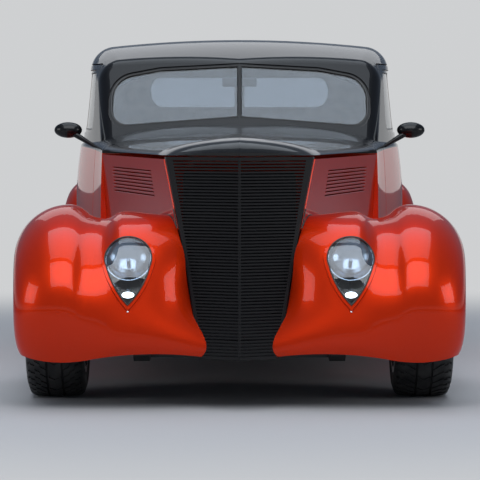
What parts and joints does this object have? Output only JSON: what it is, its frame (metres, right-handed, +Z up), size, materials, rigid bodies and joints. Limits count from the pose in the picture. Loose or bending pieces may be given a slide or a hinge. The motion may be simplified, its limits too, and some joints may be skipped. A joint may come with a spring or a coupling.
{
  "type": "hot rod car",
  "caption": "Lowered two-door street rod with a slant back, V grille, teardrop lamps in bulbous fenders, steered wheels, opening doors, hood and trunk lid.",
  "frame": {"origin": "on the ground under the middle of the car's bounding box", "axes": "+Z up, the nose points along -Y, +X is the car's own left"},
  "size_m": [1.735, 4.2749, 1.4474],
  "materials": {
    "black_paint": "gloss black",
    "dash_plastic": "black",
    "engine_metal": "painted casting",
    "frame_black": "satin black",
    "glass": "tinted clear glass",
    "grille_black": "satin black",
    "lamp_glass": "clear glass",
    "leather": "tan leather",
    "radiator_metal": "dark fins",
    "red_paint": "gloss metallic orange-red",
    "rim_metal": "polished",
    "steel": "bare steel",
    "tail_lens": "red lens",
    "tyre": "black rubber"
  },
  "bodies": {
    "body": {"body_shell": "black_paint", "chassis_frame": "frame_black", "dashboard": "dash_plastic", "driveline": "steel", "engine_block": "engine_metal", "exhaust": "steel", "floor_pan": "frame_black", "front_fender_left": "red_paint", "front_fender_right": "red_paint", "front_seat": "leather", "front_suspension": "frame_black", "fuel_tank": "steel", "grille": "grille_black", "headlight_left": "red_paint", "headlight_lenses": "lamp_glass", "headlight_right": "red_paint", "hood_side_left": "red_paint", "hood_side_right": "red_paint", "radiator": "radiator_metal", "rear_axle": "frame_black", "rear_fender_left": "red_paint", "rear_fender_right": "red_paint", "rear_seat": "leather", "rear_windows": "glass", "running_boards": "red_paint", "steering_wheel": "dash_plastic", "tail_lamps": "tail_lens", "windshield": "glass"},
    "hood": {"hood_top": "black_paint"},
    "trunk": {"trunk_lid": "red_paint"},
    "door_left_body": {"door_left": "red_paint", "door_glass_left": "glass", "mirror_left": "black_paint"},
    "steering_left": {"knuckle_left": "steel"},
    "wheel_front_left": {"front_rim_left": "rim_metal", "front_tyre_left": "tyre"},
    "wheel_rear_left": {"rear_rim_left": "rim_metal", "rear_tyre_left": "tyre"},
    "door_right_body": {"door_right": "red_paint", "door_glass_right": "glass", "mirror_right": "black_paint"},
    "steering_right": {"knuckle_right": "steel"},
    "wheel_front_right": {"front_rim_right": "rim_metal", "front_tyre_right": "tyre"},
    "wheel_rear_right": {"rear_rim_right": "rim_metal", "rear_tyre_right": "tyre"}
  },
  "joints": [
    {"name": "steer_left", "type": "hinge", "parent": "body", "child": "steering_left", "pos_m": [0.6, -1.5, 0.315], "axis": [0, 0, 1], "range_deg": [-28, 28]},
    {"name": "roll_front_left", "type": "hinge", "parent": "steering_left", "child": "wheel_front_left", "pos_m": [0.71, -1.5, 0.315], "axis": [1, 0, 0], "continuous": true},
    {"name": "roll_rear_left", "type": "hinge", "parent": "body", "child": "wheel_rear_left", "pos_m": [0.715, 1.345, 0.355], "axis": [1, 0, 0], "continuous": true},
    {"name": "steer_right", "type": "hinge", "parent": "body", "child": "steering_right", "pos_m": [-0.6, -1.5, 0.315], "axis": [0, 0, 1], "range_deg": [-28, 28]},
    {"name": "roll_front_right", "type": "hinge", "parent": "steering_right", "child": "wheel_front_right", "pos_m": [-0.71, -1.5, 0.315], "axis": [1, 0, 0], "continuous": true},
    {"name": "roll_rear_right", "type": "hinge", "parent": "body", "child": "wheel_rear_right", "pos_m": [-0.715, 1.345, 0.355], "axis": [1, 0, 0], "continuous": true},
    {"name": "door_left", "type": "hinge", "parent": "body", "child": "door_left_body", "pos_m": [0.655, -0.243, 0.62], "axis": [0, 0, -1], "range_deg": [0, 62]},
    {"name": "door_right", "type": "hinge", "parent": "body", "child": "door_right_body", "pos_m": [-0.655, -0.243, 0.62], "axis": [0, 0, 1], "range_deg": [0, 62]},
    {"name": "hood", "type": "hinge", "parent": "body", "child": "hood", "pos_m": [0, -0.506, 1.035], "axis": [-1, 0, 0], "range_deg": [0, 50]},
    {"name": "trunk", "type": "hinge", "parent": "body", "child": "trunk", "pos_m": [0, 1.778, 0.951], "axis": [1, 0, 0], "range_deg": [0, 60]}
  ],
  "couplings": [
    {"joint": "steer_right", "follows": "steer_left", "ratio": 1}
  ]
}
